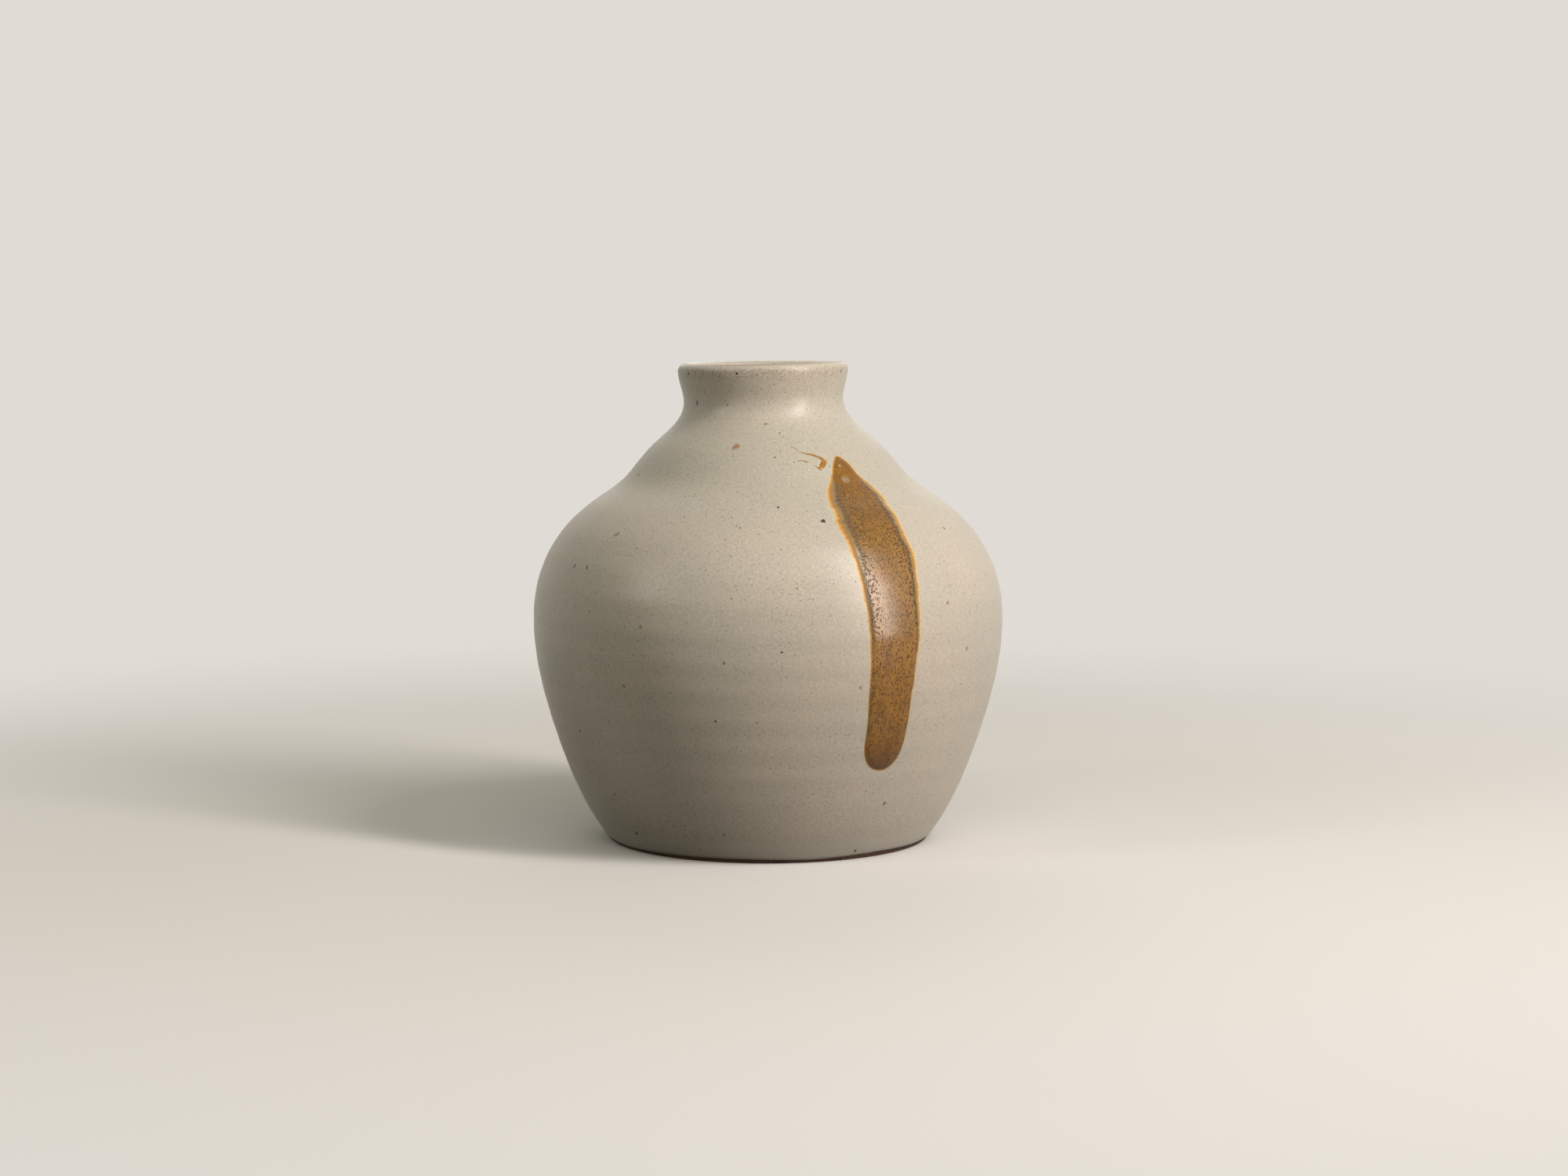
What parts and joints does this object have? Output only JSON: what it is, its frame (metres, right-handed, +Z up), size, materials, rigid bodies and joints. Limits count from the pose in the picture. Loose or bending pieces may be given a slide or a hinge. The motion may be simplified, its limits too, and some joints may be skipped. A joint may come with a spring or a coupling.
{
  "type": "stoneware vase",
  "caption": "Round-bellied thrown vase with a short flared neck, rolled lip and turned foot, satin glaze and one brushed iron stripe.",
  "frame": {"origin": "centre of the foot ring, on the surface that the vase stands on", "axes": "+Z up along the axis that the belly was thrown on; -Y is the front, and the stripe is 31 degrees from it towards +X"},
  "size_m": [0.1286, 0.1286, 0.1305],
  "materials": {
    "stoneware_clay": "matte",
    "satin_glaze": "satin",
    "liner_glaze": "satin",
    "iron_glaze": "gloss"
  },
  "bodies": {
    "root": {"clay_body": "stoneware_clay", "outer_glaze": "satin_glaze", "liner_glaze": "liner_glaze", "iron_stroke": "iron_glaze", "iron_flick_hook": "iron_glaze", "iron_flick_dash": "iron_glaze"}
  },
  "joints": []
}
